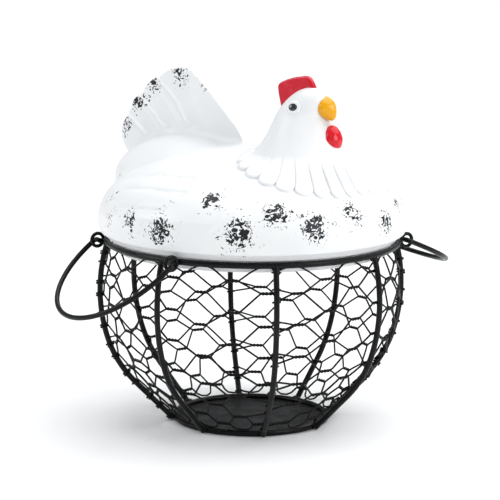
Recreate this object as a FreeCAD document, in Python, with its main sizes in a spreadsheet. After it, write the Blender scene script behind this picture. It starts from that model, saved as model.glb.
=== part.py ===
import FreeCAD, Part
import math
import os

import Sketcher
from FreeCAD import Placement, Rotation, Vector

# A wire produce basket with two swinging bails and a hollow ceramic hen for its lid.
# Frame: origin at the middle of the base plate's underside, +Z up, the bails on +X and -X.

doc = FreeCAD.newDocument("hen_basket")
sheet = doc.addObject("Spreadsheet::Sheet", "Sizes")

DRIVING = (
    ("rim_radius", 90, "centre line of the rim wire"),
    ("rim_height", 113.5, "height of the rim wire's centre line"),
    ("rim_wire", 3.8, "diameter of the rim and base ring wire"),
    ("rib_wire", 3.5, "diameter of the rib wire"),
    ("rib_count", 8, "ribs round the basket"),
    ("first_rib", 22.5, "direction of the first rib, degrees"),
    ("belly_drop", 30, "widest height of the basket, below the rim"),
    ("belly_curve", 100, "radius of a rib's upper bow"),
    ("heel_curve", 71.2, "radius of a rib's lower bow"),
    ("heel_slope", 45, "slope of a rib's straight foot, degrees"),
    ("foot_radius", 49.4, "where a rib's centre line ends"),
    ("foot_height", 1.5, "height of that end"),
    ("base_radius", 47, "centre line of the base ring, and edge of the plate"),
    ("plate_thick", 1.2, "base plate"),
    ("plate_round", 0.4, "edge rounding of the base plate"),
    ("net_wire", 1, "diameter of the netting wire"),
    ("net_gap", 0.05, "air between the netting and a rib, and between twisted wires"),
    ("net_column", 12, "angle between columns of twists, degrees"),
    ("net_row", 9.5, "distance between rows of twists, along the rib"),
    ("net_skew", 1.9, "every second row sits this much higher"),
    ("net_twist", 8, "length of a twist"),
    ("net_first", 9, "first row of twists, along the rib from the rim"),
    ("net_top", 2.4, "top of the netting, just under the rim"),
    ("net_bend", 0.9, "how far from a corner its bend begins"),
    ("net_rows", 13, "netting wires from rim to base"),
    ("net_end", 0.5, "end of a netting wire, short of the middle of its rib"),
    ("net_seam", -22.5, "direction of the first seam between two sheets of netting, degrees"),
    ("net_start_1", 4, "a column with a twist in the top row, past the first seam, degrees"),
    ("net_start_2", 6.5, "the same, past the second seam"),
    ("net_start_3", 1.5, "the same, past the third seam"),
    ("net_start_4", 19.7, "the same, past the fourth seam"),
    ("eye_radius", 4, "centre line of an eye"),
    ("eye_wire", 2.2, "diameter of the eye wire"),
    ("pivot_out", 83.7, "bail axis, out from the middle"),
    ("pivot_drop", 0.5, "bail axis, below the rim's centre line"),
    ("eye_apart", 92.8, "between the two eyes of a bail"),
    ("bail_wire", 3.1, "diameter of the bail wire"),
    ("bail_radius", 49.4, "radius of the bail's bow"),
    ("bail_leg", 7, "axis to the start of the bow"),
    ("bail_bend", 2.5, "bend from a leg into its eye"),
    ("bail_pin", 42.5, "end of the turned-in pin, from the middle"),
    ("left_hang", 38.6, "left bail below level, degrees"),
    ("right_hang", 23, "right bail below level, degrees"),
    ("hen_heading", -68.3, "direction the hen faces, degrees"),
    ("hull_radius", 95.5, "widest radius of the hen's body"),
    ("hull_level", 12, "height of that above the rim"),
    ("hull_rise", 45.5, "height of the back above that"),
    ("hull_side", 30, "radius of the flank above it"),
    ("hull_tuck", 10, "radius of the tuck under the widest line"),
    ("foot_ring", 90.5, "outer radius of the lid's foot"),
    ("seat_height", 2, "underside of the foot above the rim's centre line"),
    ("lip_radius", 85.5, "outside of the locating lip"),
    ("lip_depth", 5, "lip below the rim's centre line"),
    ("lip_wall", 5, "thickness of the lip"),
    ("wall", 5, "thickness of the casting"),
    ("neck_ahead", 38, "neck ahead of the middle"),
    ("cape_ahead", 42, "feather cape ahead of the middle"),
    ("cape_radius", 44, "feather cape where it meets the back"),
    ("cape_level", 32, "that height above the rim"),
    ("nape_radius", 28.5, "neck at its lower waist"),
    ("nape_level", 59, "that height above the rim"),
    ("throat_radius", 18.7, "neck at the throat"),
    ("throat_level", 76, "that height above the rim"),
    ("head_ahead", 39.5, "head ahead of the middle"),
    ("head_radius", 13.8, "head"),
    ("head_level", 83.5, "middle of the head above the rim"),
    ("tail_thick", 16, "tail fan"),
    ("comb_thick", 8, "comb"),
    ("beak_length", 14, "beak"),
    ("beak_root", 6.2, "radius of the beak at the face"),
    ("beak_tip", 1.6, "radius of its tip"),
    ("beak_dip", 25, "how far the beak points down, degrees"),
    ("beak_ahead", 11, "root of the beak ahead of the neck's middle"),
    ("beak_level", 89.5, "its height above the rim"),
    ("wattle_radius", 5.8, "wattle"),
    ("wattle_drop", 7.4, "half its height"),
    ("wattle_ahead", 22, "its middle, ahead of the neck's middle"),
    ("wattle_level", 68.1, "its height above the rim"),
    ("eye_disc", 3.9, "radius of the hen's eye"),
    ("eye_thick", 3, "its thickness"),
    ("eye_round", 1.2, "rounding of its edge"),
    ("eye_lean", 25, "how far it looks up, degrees"),
    ("eye_turn", 78, "direction of an eye from the heading, degrees"),
    ("eye_level", 86.7, "its height above the rim"),
    ("eye_out", 11.6, "its back, out from the neck's middle"),
)
for row, (alias, value, note) in enumerate(DRIVING, 1):
    sheet.set(f"A{row}", note)
    sheet.set(f"B{row}", str(value))
    sheet.setAlias(f"B{row}", alias)
doc.recompute()


def size(alias):
    """The value of one cell of the sheet."""
    return float(sheet.get(alias))


def bind(thing, **sizes):
    """Bind properties to expressions over the sheet; a cell is written as its bare alias."""
    for prop, expression in sizes.items():
        thing.setExpression(prop, expression)


def cell(alias):
    return f"Sizes.{alias}"


RIM = size("rim_height")
parts = []


def piece(thing, label, placement=None):
    """Label a finished sub-part, place it and list it for export."""
    thing.Label = label
    if placement is not None:
        thing.Placement = placement
    parts.append(thing)
    return thing


def ring(label, radius, thickness, placement):
    """A welded ring of round wire."""
    torus = doc.addObject("Part::Torus", label)
    bind(torus, Radius1=cell(radius), Radius2=f"{cell(thickness)} / 2")
    return piece(torus, label, placement)


def plane(body, role):
    return next(f for f in body.Origin.OriginFeatures if f.Role == role)


def sketch_on(body, name, role):
    """A new sketch on one of a body's own origin planes."""
    sketch = body.newObject("Sketcher::SketchObject", name)
    sketch.AttachmentSupport = [(plane(body, role), "")]
    sketch.MapMode = "FlatFace"
    return sketch


def hold(sketch, *constraint, to=None):
    """Add one constraint, and bind its value to an expression over the sheet."""
    index = sketch.addConstraint(Sketcher.Constraint(*constraint))
    if to:
        sketch.setExpression(f"Constraints[{index}]", to)


def place_point(sketch, geometry, end, across=None, up=None):
    """Hold a point of a sketch at its distances from the origin, each an expression."""
    if across:
        hold(sketch, "DistanceX", -1, 1, geometry, end, point(sketch, geometry, end).x, to=across)
    if up:
        hold(sketch, "DistanceY", -1, 1, geometry, end, point(sketch, geometry, end).y, to=up)


def point(sketch, geometry, end):
    return sketch.getPoint(geometry, end)


def bent_wire(body, path, thickness):
    """Sweep a round section along the open path sketch of a body."""
    doc.recompute()
    section = body.newObject("Sketcher::SketchObject", "Section")
    section.AttachmentSupport = [(path, "Edge1")]
    section.MapMode = "NormalToEdge"
    section.addGeometry(Part.Circle(Vector(), Vector(0, 0, 1), size(thickness) / 2))
    hold(section, "Coincident", 0, 3, -1, 1)
    hold(section, "Diameter", 0, size(thickness), to=cell(thickness))
    pipe = body.newObject("PartDesign::AdditivePipe", "Wire")
    pipe.Profile = section
    pipe.Spine = (path, [])
    body.Tip = pipe
    doc.recompute()


def arc_by(centre, radius, start, end):
    """Arc of a circle from one angle to another, counter-clockwise, in degrees."""
    circle = Part.Circle(centre, Vector(0, 0, 1), radius)
    return Part.ArcOfCircle(circle, math.radians(start), math.radians(end))


class Bow:
    """A rib's centre line as (radius, height): an upper bow, a lower bow and a straight foot.

    inset moves the whole line inward, towards the basket's inside.
    """

    def __init__(self, inset=0):
        drop, upper, lower = size("belly_drop"), size("belly_curve"), size("heel_curve")
        slope = math.radians(size("heel_slope"))
        foot = Vector(size("foot_radius"), size("foot_height"), 0)
        # the straight foot's line, and the height where the lower bow runs into it
        self.upper_centre = Vector(size("rim_radius") - math.sqrt(upper**2 - drop**2), RIM - drop, 0)
        out = Vector(math.sin(slope), -math.cos(slope), 0)
        reach = (foot - self.upper_centre).dot(out)
        # the two bows share a tangent where their centres line up, upper - lower apart
        turn = math.acos((reach - lower) / (upper - lower))
        self.join = slope - turn
        step = Vector(math.cos(self.join), -math.sin(self.join), 0)
        self.lower_centre = self.upper_centre + step * (upper - lower)
        self.slope, self.upper, self.lower = slope, upper - inset, lower - inset
        self.start = -math.asin(drop / upper)
        self.heel = self.lower_centre + out * self.lower
        self.foot = foot - out * inset
        self.lengths = (
            self.upper * (self.join - self.start),
            self.lower * (slope - self.join),
            (self.foot - self.heel).Length,
        )

    def at(self, along):
        """(radius, height) at a distance along the line from the rim."""
        first, second, _ = self.lengths
        if along < first:
            angle = self.start + along / self.upper
            return self.upper_centre + Vector(math.cos(angle), -math.sin(angle), 0) * self.upper
        if along < first + second:
            angle = self.join + (along - first) / self.lower
            return self.lower_centre + Vector(math.cos(angle), -math.sin(angle), 0) * self.lower
        down = (self.foot - self.heel).normalize()
        return self.heel + down * (along - first - second)


# ---- rings, plate and ribs ----

upright = Rotation(Vector(1, 0, 0), 90)
ring("rim_ring", "rim_radius", "rim_wire", Placement(Vector(0, 0, RIM), Rotation()))
ring("base_ring", "base_radius", "rim_wire", Placement(Vector(0, 0, size("rim_wire") / 2), Rotation()))

plate = doc.addObject("PartDesign::Body", "BasePlate")
disc = sketch_on(plate, "Disc", "XY_Plane")
disc.addGeometry(Part.Circle(Vector(), Vector(0, 0, 1), size("base_radius")))
hold(disc, "Coincident", 0, 3, -1, 1)
hold(disc, "Radius", 0, size("base_radius"), to=cell("base_radius"))
sheet_metal = plate.newObject("PartDesign::Pad", "Sheet")
sheet_metal.Profile = disc
bind(sheet_metal, Length=cell("plate_thick"))
doc.recompute()
edge_round = plate.newObject("PartDesign::Fillet", "EdgeRound")
edge_round.Base = (sheet_metal, ["Face3"])
bind(edge_round, Radius=cell("plate_round"))
plate.Tip = edge_round
piece(plate, "base_plate")


def rib(number):
    """One bowed rib, from the rim's centre line down to the base ring."""
    body = doc.addObject("PartDesign::Body", f"Rib{number}")
    path = sketch_on(body, "Path", "XZ_Plane")
    line = Bow()
    start, join, slope = (-math.degrees(a) for a in (line.start, line.join, line.slope))
    path.addGeometry(arc_by(line.upper_centre, line.upper, join, start))
    path.addGeometry(arc_by(line.lower_centre, line.lower, slope, join))
    path.addGeometry(Part.LineSegment(line.heel, line.foot))
    hold(path, "Tangent", 0, 1, 1, 2)
    hold(path, "Tangent", 1, 1, 2, 1)
    place_point(path, 0, 2, cell("rim_radius"), cell("rim_height"))
    place_point(path, 0, 3, up=f"{cell('rim_height')} - {cell('belly_drop')}")
    hold(path, "Radius", 0, line.upper, to=cell("belly_curve"))
    hold(path, "Radius", 1, line.lower, to=cell("heel_curve"))
    place_point(path, 2, 2, cell("foot_radius"), cell("foot_height"))
    bent_wire(body, path, "rib_wire")
    turn = size("first_rib") + (number - 1) * 360 / size("rib_count")
    piece(body, f"rib_{number}", Placement(Vector(), Rotation(Vector(0, 0, 1), turn)))


for number in range(1, int(size("rib_count")) + 1):
    rib(number)

# ---- netting ----
# Four sheets of hexagonal netting, each over two bays. Each wire is cut where it passes behind a rib.


def twist_row(row):
    """Distance from the rim, along the rib, of one row of twists."""
    return size("net_first") + row * size("net_row") - (row % 2) * size("net_skew")


def netting_wire(row, line, start, low_edge, high_edge):
    """One zigzag wire of a bay: it twists by turns with the wire above it and the one below.

    start is the direction of its sheet's first column, and the edges are the bay's.
    """
    apart = (size("net_wire") + size("net_gap")) / 2
    upper = twist_row(row - 1) + apart if row else size("net_top")
    lower = twist_row(row) - apart
    columns = math.ceil(2 * 360 / size("rib_count") / size("net_column"))
    flat = []
    for count in range(-2, columns + 1):
        along = upper if (count + row) % 2 else lower
        half_twist = size("net_twist") / 2 / line.at(along).x
        middle = start + math.radians(count * size("net_column"))
        flat += [(middle - half_twist, along), (middle + half_twist, along)]

    def cut(out, kept, edge):
        """The point between two neighbours where the wire meets the edge of the bay."""
        share = (edge - kept[0]) / (out[0] - kept[0])
        return edge, kept[1] + share * (out[1] - kept[1])

    inside = [n for n, spot in enumerate(flat) if low_edge < spot[0] < high_edge]
    first, last = inside[0], inside[-1]
    spots = [cut(flat[first - 1], flat[first], low_edge), *flat[first : last + 1]]
    spots.append(cut(flat[last + 1], flat[last], high_edge))
    points = []
    for angle, along in spots:
        radius, height = line.at(along)[:2]
        points.append(Vector(radius * math.cos(angle), radius * math.sin(angle), height))
    return rounded_wire(points, size("net_bend"), size("net_wire") / 2)


def rounded_wire(points, setback, radius):
    """A round wire along straight runs joined by tangent arcs."""
    edges, here = [], points[0]
    for before, corner, after in zip(points, points[1:], points[2:]):
        back, on = (before - corner).normalize(), (after - corner).normalize()
        short = min(setback, 0.4 * (before - corner).Length, 0.4 * (after - corner).Length)
        half_turn = (math.pi - back.getAngle(on)) / 2
        bend = short / math.tan(half_turn)
        inward = (back + on).normalize() * (bend / math.cos(half_turn) - bend)
        edges.append(Part.LineSegment(here, corner + back * short).toShape())
        here = corner + on * short
        edges.append(Part.Arc(corner + back * short, corner + inward, here).toShape())
    edges.append(Part.LineSegment(here, points[-1]).toShape())
    start = Part.Wire([Part.makeCircle(radius, points[0], points[1] - points[0])])
    return Part.Wire(edges).makePipeShell([start], True, True)


bays = int(size("rib_count"))
bay = math.radians(360 / bays)
inset = (size("rib_wire") + size("net_wire")) / 2 + size("net_gap")
net_line = Bow(inset)
end_gap = size("net_end") / size("foot_radius")
for number in range(bays):
    edge = math.radians(size("net_seam")) + number * bay
    seam = math.radians(size("net_seam")) + (number // 2) * 2 * bay
    start = seam + math.radians(size(f"net_start_{number // 2 + 1}"))
    span = edge + end_gap, edge + bay - end_gap
    wires = [netting_wire(row, net_line, start, *span) for row in range(int(size("net_rows")))]
    panel = doc.addObject("Part::Feature", f"Netting{number + 1}")
    panel.Shape = Part.makeCompound(wires)
    piece(panel, f"netting_{number + 1}")

# ---- bails and their eyes ----

axis_height = RIM - size("pivot_drop")


def bail(label, side, hang):
    """One bent wire: a bow, two legs, and two pins turned in through the eyes."""
    body = doc.addObject("PartDesign::Body", label)
    path = sketch_on(body, "Path", "XY_Plane")
    leg, radius = size("bail_leg"), size("bail_radius")
    bend, pin = size("bail_bend"), size("bail_pin")
    path.addGeometry(Part.LineSegment(Vector(0, -pin, 0), Vector(0, bend - radius, 0)))
    path.addGeometry(arc_by(Vector(bend, bend - radius, 0), bend, 180, 270))
    path.addGeometry(Part.LineSegment(Vector(bend, -radius, 0), Vector(leg, -radius, 0)))
    path.addGeometry(arc_by(Vector(leg, 0, 0), radius, -90, 90))
    path.addGeometry(Part.LineSegment(Vector(leg, radius, 0), Vector(bend, radius, 0)))
    path.addGeometry(arc_by(Vector(bend, radius - bend, 0), bend, 90, 180))
    path.addGeometry(Part.LineSegment(Vector(0, radius - bend, 0), Vector(0, pin, 0)))
    hold(path, "Tangent", 0, 2, 1, 1)
    hold(path, "Tangent", 1, 2, 2, 1)
    hold(path, "Tangent", 2, 2, 3, 1)
    hold(path, "Tangent", 3, 2, 4, 1)
    hold(path, "Tangent", 4, 2, 5, 1)
    hold(path, "Tangent", 5, 2, 6, 1)
    hold(path, "PointOnObject", 0, 1, -2)
    hold(path, "PointOnObject", 6, 2, -2)
    hold(path, "PointOnObject", 3, 3, -1)
    hold(path, "Vertical", 0)
    hold(path, "Vertical", 6)
    hold(path, "Horizontal", 2)
    hold(path, "Equal", 1, 5)
    hold(path, "Radius", 1, bend, to=cell("bail_bend"))
    hold(path, "Radius", 3, radius, to=cell("bail_radius"))
    place_point(path, 3, 3, across=cell("bail_leg"))
    place_point(path, 6, 2, up=cell("bail_pin"))
    hold(path, "DistanceY", 0, 1, -1, 1, pin, to=cell("bail_pin"))
    bent_wire(body, path, "bail_wire")
    turn = Rotation(Vector(0, 1, 0), side * size(hang)) * Rotation(Vector(0, 0, 1), 90 - 90 * side)
    piece(body, label, Placement(Vector(side * size("pivot_out"), 0, axis_height), turn))


for name, side in (("left", -1), ("right", 1)):
    bail(f"{name}_bail", side, f"{name}_hang")
    for end, way in (("front", -1), ("back", 1)):
        spot = Vector(side * size("pivot_out"), way * size("eye_apart") / 2, axis_height)
        ring(f"{name}_{end}_eye", "eye_radius", "eye_wire", Placement(spot, upright))

# ---- the hen ----
# Its own frame: +X the way it faces, heights above the rim's centre line.

hen_frame = Placement(Vector(0, 0, RIM), Rotation(Vector(0, 0, 1), size("hen_heading")))
hen = doc.addObject("PartDesign::Body", "Hen")


def closed_outline(sketch, corners):
    """Straight edges through the corners, joined end to end."""
    for here, there in zip(corners, corners[1:] + corners[:1]):
        sketch.addGeometry(Part.LineSegment(Vector(*here, 0), Vector(*there, 0)))
    for edge in range(len(corners)):
        hold(sketch, "Coincident", edge, 2, (edge + 1) % len(corners), 1)


def hull_arcs(thinner=0):
    """The side and back arcs of the hen's body, moved inward by the wall where asked."""
    widest, level, rise = size("hull_radius"), size("hull_level"), size("hull_rise")
    side = size("hull_side")
    # the back's arc is level over the middle and tangent to the side's arc
    back = ((widest - side) ** 2 + rise**2 - side**2) / (2 * (rise - side))
    side_centre, back_centre = Vector(widest - side, level, 0), Vector(0, level + rise - back, 0)
    join = math.degrees(math.atan2(side_centre.y - back_centre.y, side_centre.x))
    return (
        arc_by(side_centre, side - thinner, 0, join),
        arc_by(back_centre, back - thinner, join, 90),
    )


def body_of_hull():
    """The hen's round body: a foot, a tuck under the widest line, and a low dome."""
    outline = sketch_on(hen, "Outline", "XZ_Plane")
    widest, level, tuck = size("hull_radius"), size("hull_level"), size("hull_tuck")
    ring_out, seat, top = size("foot_ring"), size("seat_height"), level + size("hull_rise")
    centre = Vector(widest - tuck, level, 0)
    fall = math.acos((ring_out - centre.x) / tuck)
    knee = centre + Vector(math.cos(fall), -math.sin(fall), 0) * tuck
    outline.addGeometry(Part.LineSegment(Vector(0, top, 0), Vector(0, seat, 0)))
    outline.addGeometry(Part.LineSegment(Vector(0, seat, 0), Vector(ring_out, seat, 0)))
    outline.addGeometry(Part.LineSegment(Vector(ring_out, seat, 0), knee))
    outline.addGeometry(arc_by(centre, tuck, -math.degrees(fall), 0))
    for arc in hull_arcs():
        outline.addGeometry(arc)
    for edge, end, after, start in ((0, 2, 1, 1), (1, 2, 2, 1), (2, 2, 3, 1), (5, 2, 0, 1)):
        hold(outline, "Coincident", edge, end, after, start)
    hold(outline, "Tangent", 3, 2, 4, 1)
    hold(outline, "Tangent", 4, 2, 5, 1)
    for edge, way in ((0, "Vertical"), (1, "Horizontal"), (2, "Vertical")):
        hold(outline, way, edge)
    hold(outline, "PointOnObject", 0, 1, -2)
    hold(outline, "PointOnObject", 5, 3, -2)
    hold(outline, "Radius", 3, tuck, to=cell("hull_tuck"))
    hold(outline, "Radius", 4, size("hull_side"), to=cell("hull_side"))
    place_point(outline, 1, 2, cell("foot_ring"), cell("seat_height"))
    place_point(outline, 3, 2, cell("hull_radius"), cell("hull_level"))
    place_point(outline, 3, 3, up=cell("hull_level"))
    place_point(outline, 0, 1, up=f"{cell('hull_level')} + {cell('hull_rise')}")
    shell = hen.newObject("PartDesign::Revolution", "Shell")
    shell.Profile = outline
    shell.ReferenceAxis = (outline, ["V_Axis"])
    shell.Angle = 360
    hen.Tip = shell
    doc.recompute()


def circle_at(ahead, radius, level, inside=False):
    """A level circle of the hen's neck, in its own sketch; inside it is smaller by the wall."""
    thinner = size("wall") if inside else 0
    across = f"{cell(radius)} - {cell('wall')}" if inside else cell(radius)
    sketch = sketch_on(hen, "NeckRing", "XY_Plane")
    sketch.AttachmentOffset = Placement(Vector(0, 0, size(level)), Rotation())
    sketch.setExpression("AttachmentOffset.Base.z", cell(level))
    sketch.addGeometry(Part.Circle(Vector(size(ahead), 0, 0), Vector(0, 0, 1), size(radius) - thinner))
    hold(sketch, "PointOnObject", 0, 3, -1)
    place_point(sketch, 0, 3, across=cell(ahead))
    hold(sketch, "Radius", 0, size(radius) - thinner, to=across)
    return sketch


NECK = (
    ("cape_ahead", "cape_radius", "cape_level"),
    ("neck_ahead", "nape_radius", "nape_level"),
    ("neck_ahead", "throat_radius", "throat_level"),
    ("head_ahead", "head_radius", "head_level"),
)


def neck(kind, name, inside=False):
    """Cape and neck as one loft through level circles."""
    rings = [circle_at(*spec, inside) for spec in NECK]
    loft = hen.newObject(kind, name)
    loft.Profile = rings[0]
    loft.Sections = rings[1:]
    loft.Ruled = False
    hen.Tip = loft
    doc.recompute()


def head():
    crown = hen.newObject("PartDesign::AdditiveSphere", "Head")
    bind(crown, Radius=cell("head_radius"))
    crown.AttachmentSupport = [(plane(hen, "XY_Plane"), "")]
    crown.MapMode = "FlatFace"
    crown.setExpression("AttachmentOffset.Base.x", cell("head_ahead"))
    crown.setExpression("AttachmentOffset.Base.z", cell("head_level"))
    doc.recompute()


# outlines in the hen's upright plane, as (ahead, height above the rim's centre line)
FAN_ROOT = ((-80, 36), (0, 45))
FAN_FRONT = ((0, 56), (-24, 80.5), (-50, 101.5))
FAN_TIPS = ((-61.5, 102.5), (-83, 92.2), (-95.6, 79.8), (-107, 62))
FAN_NOTCHES = ((-73.5, 96.3), (-88.2, 84), (-98, 72), (-101, 46))
COMB_ROOT = ((50, 92), (22.5, 84))
COMB_TOP = ((20.3, 96.6), (33.5, 103), (43.5, 103.9), (50, 92))
COMB_BUMPS = ((25.6, 100.9), (38.6, 104.3), (47.9, 98.6))


def run_of_arcs(sketch, ends, bulges):
    """Arcs joined end to end, each through its own bulge."""
    for start, bulge, end in zip(ends, bulges, ends[1:]):
        sketch.addGeometry(Part.Arc(*(Vector(*spot, 0) for spot in (start, bulge, end))))


def run_of_lines(sketch, corners):
    """Straight edges joined end to end."""
    for here, there in zip(corners, corners[1:]):
        sketch.addGeometry(Part.LineSegment(Vector(*here, 0), Vector(*there, 0)))


def tail():
    """The upright tail fan: a front edge curving up to four rounded feather tips."""
    fan = sketch_on(hen, "Fan", "XZ_Plane")
    low, bulge, top = FAN_FRONT
    run_of_lines(fan, (FAN_NOTCHES[-1], *FAN_ROOT, low))
    run_of_arcs(fan, (low, top), (bulge,))
    run_of_arcs(fan, (top, *FAN_NOTCHES), FAN_TIPS)
    plate = hen.newObject("PartDesign::Pad", "Tail")
    plate.Profile = fan
    plate.Midplane = True
    bind(plate, Length=cell("tail_thick"))
    hen.Tip = plate
    doc.recompute()


def hollow():
    """Cut the inside of the body: the lip's bore, a flare above it and the domed back."""
    bore = sketch_on(hen, "Bore", "XZ_Plane")
    inner, low = size("lip_radius") - size("lip_wall"), -size("lip_depth") - size("lip_wall")
    side, back = hull_arcs(size("wall"))
    corners = [Vector(0, low, 0), Vector(inner, low, 0), Vector(inner, size("seat_height"), 0)]
    corners.append(side.StartPoint)
    for here, there in zip(corners, corners[1:]):
        bore.addGeometry(Part.LineSegment(here, there))
    bore.addGeometry(side)
    bore.addGeometry(back)
    bore.addGeometry(Part.LineSegment(back.EndPoint, corners[0]))
    for edge in range(6):
        hold(bore, "Coincident", edge, 2, (edge + 1) % 6, 1)
    mouth = hen.newObject("PartDesign::Groove", "Mouth")
    mouth.Profile = bore
    mouth.ReferenceAxis = (bore, ["V_Axis"])
    mouth.Angle = 360
    hen.Tip = mouth
    doc.recompute()


def lip():
    """The locating lip that drops inside the rim."""
    inner, outer = size("lip_radius") - size("lip_wall"), size("lip_radius")
    band = sketch_on(hen, "LipBand", "XZ_Plane")
    low, high = -size("lip_depth"), size("seat_height")
    closed_outline(band, [(inner, low), (outer, low), (outer, high), (inner, high)])
    turned = hen.newObject("PartDesign::Revolution", "Lip")
    turned.Profile = band
    turned.ReferenceAxis = (band, ["V_Axis"])
    turned.Angle = 360
    hen.Tip = turned
    doc.recompute()


MOST_LEFT = 0.6  # share of the solid hen that may be left once it is hollow

body_of_hull()
neck("PartDesign::AdditiveLoft", "Neck")
head()
tail()
solid_volume = hen.Shape.Volume
hollow()
neck("PartDesign::SubtractiveLoft", "NeckBore", inside=True)
if hen.Shape.Volume > MOST_LEFT * solid_volume:
    raise SystemExit("the hen was not hollowed")
lip()
piece(hen, "hen_lid", hen_frame)


def on_hen(ahead, aside, level, rotation=Rotation()):
    """A placement in the basket's frame from a spot and turn in the hen's."""
    return hen_frame * Placement(Vector(ahead, aside, level), rotation)


comb = doc.addObject("PartDesign::Body", "Comb")
crest = sketch_on(comb, "Crest", "XZ_Plane")
run_of_lines(crest, (*COMB_ROOT, COMB_TOP[0]))
run_of_arcs(crest, COMB_TOP, COMB_BUMPS)
blade = comb.newObject("PartDesign::Pad", "Blade")
blade.Profile = crest
blade.Midplane = True
bind(blade, Length=cell("comb_thick"))
comb.Tip = blade
piece(comb, "comb", hen_frame)

beak = doc.addObject("Part::Cone", "Beak")
bind(beak, Radius1=cell("beak_root"), Radius2=cell("beak_tip"), Height=cell("beak_length"))
root = size("neck_ahead") + size("beak_ahead")
piece(beak, "beak", on_hen(root, 0, size("beak_level"), Rotation(Vector(0, 1, 0), 90 + size("beak_dip"))))


def drop():
    """The wattle: a round drop, pointed above and full below."""
    body = doc.addObject("PartDesign::Body", "Wattle")
    half = sketch_on(body, "Half", "XZ_Plane")
    full, rise = size("wattle_radius"), size("wattle_drop")
    low, high, middle = Vector(0, -rise, 0), Vector(0, rise, 0), Vector(0, full - rise, 0)
    # the straight sides leave the ball where they are tangent to it
    leave = 90 - math.degrees(math.acos(full / (rise - middle.y)))
    ball = arc_by(middle, full, -90, leave)
    half.addGeometry(Part.LineSegment(high, low))
    half.addGeometry(ball)
    half.addGeometry(Part.LineSegment(ball.EndPoint, high))
    for edge, end, after, start in ((0, 2, 1, 1), (1, 2, 2, 1), (2, 2, 0, 1)):
        hold(half, "Coincident", edge, end, after, start)
    turned = body.newObject("PartDesign::Revolution", "Turned")
    turned.Profile = half
    turned.ReferenceAxis = (half, ["V_Axis"])
    turned.Angle = 360
    body.Tip = turned
    doc.recompute()
    spot = size("neck_ahead") + size("wattle_ahead")
    piece(body, "wattle", on_hen(spot, 0, size("wattle_level")))


def button(label, side):
    """One of the hen's eyes: a round-edged disc set into the side of the head."""
    body = doc.addObject("PartDesign::Body", label)
    circle = sketch_on(body, "Circle", "XY_Plane")
    circle.addGeometry(Part.Circle(Vector(), Vector(0, 0, 1), size("eye_disc")))
    hold(circle, "Coincident", 0, 3, -1, 1)
    hold(circle, "Radius", 0, size("eye_disc"), to=cell("eye_disc"))
    disc = body.newObject("PartDesign::Pad", "Disc")
    disc.Profile = circle
    bind(disc, Length=cell("eye_thick"))
    doc.recompute()
    rounded = body.newObject("PartDesign::Fillet", "Rounded")
    rounded.Base = (disc, ["Face3"])
    bind(rounded, Radius=cell("eye_round"))
    body.Tip = rounded
    doc.recompute()
    turn = side * size("eye_turn")
    out = Rotation(Vector(0, 0, 1), turn) * Rotation(Vector(0, 1, 0), 90 - size("eye_lean"))
    ahead = size("neck_ahead") + size("eye_out") * math.cos(math.radians(turn))
    aside = size("eye_out") * math.sin(math.radians(turn))
    piece(body, label, on_hen(ahead, aside, size("eye_level"), out))


drop()
button("hen_left_eye", 1)
button("hen_right_eye", -1)

# ---- check and write ----

doc.recompute()
for thing in doc.Objects:
    if any(state in ("Invalid", "Error") for state in thing.State):
        raise SystemExit(f"{thing.Label} failed: {thing.State}")
for part in parts:
    if part.Shape.isNull() or not part.Shape.isValid():
        raise SystemExit(f"{part.Label} has no valid shape")

os.makedirs("parts", exist_ok=True)
for part in parts:
    part.Shape.exportStep(f"parts/{part.Label}.step")
    box = part.Shape.BoundBox
    print(f"{part.Label}: {part.Shape.Volume:.0f} mm3, z {box.ZMin:.2f} to {box.ZMax:.2f}")
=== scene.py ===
import math
import random

import bmesh
import bpy
import numpy as np
from mathutils import Matrix, Vector


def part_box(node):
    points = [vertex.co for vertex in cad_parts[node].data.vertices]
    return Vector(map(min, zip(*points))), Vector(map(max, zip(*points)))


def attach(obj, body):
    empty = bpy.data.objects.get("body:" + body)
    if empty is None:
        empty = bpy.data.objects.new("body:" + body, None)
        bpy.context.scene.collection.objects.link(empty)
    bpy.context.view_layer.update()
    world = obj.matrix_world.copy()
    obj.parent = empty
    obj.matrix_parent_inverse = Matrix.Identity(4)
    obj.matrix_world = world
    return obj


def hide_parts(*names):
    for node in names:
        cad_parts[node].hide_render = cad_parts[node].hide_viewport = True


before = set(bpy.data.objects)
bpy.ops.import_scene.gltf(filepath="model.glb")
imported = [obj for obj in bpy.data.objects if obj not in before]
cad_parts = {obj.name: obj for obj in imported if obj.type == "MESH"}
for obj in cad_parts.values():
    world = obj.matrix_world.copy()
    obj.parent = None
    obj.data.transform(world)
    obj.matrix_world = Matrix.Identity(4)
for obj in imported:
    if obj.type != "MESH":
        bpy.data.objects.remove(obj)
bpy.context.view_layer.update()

# ---- Rim, base ring and base plate ----
# Two rings of 3.8 mm steel wire, butt welded, and a round of sheet steel let into the lower one.
# The whole cage is dipped in satin black enamel after welding, so every wire carries the same
# thin skin: a fine orange peel, a little dust on top, and rare pin-sized chips.

mm = 0.001
rim_low, rim_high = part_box("rim_ring")
rim_level = (rim_low.z + rim_high.z) / 2
rim_wire = rim_high.z - rim_low.z
rim_radius = (rim_high.x - rim_low.x - rim_wire) / 2


def new_group(name, inputs, outputs):
    """An empty shader node group with named number inputs and outputs."""
    group = bpy.data.node_groups.new(name, "ShaderNodeTree")
    for label, value in inputs.items():
        socket = group.interface.new_socket(label, in_out="INPUT", socket_type="NodeSocketFloat")
        socket.default_value = value
    for label in outputs:
        group.interface.new_socket(label, in_out="OUTPUT", socket_type="NodeSocketFloat")
    source, sink = group.nodes.new("NodeGroupInput"), group.nodes.new("NodeGroupOutput")
    return group, source, sink


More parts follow.
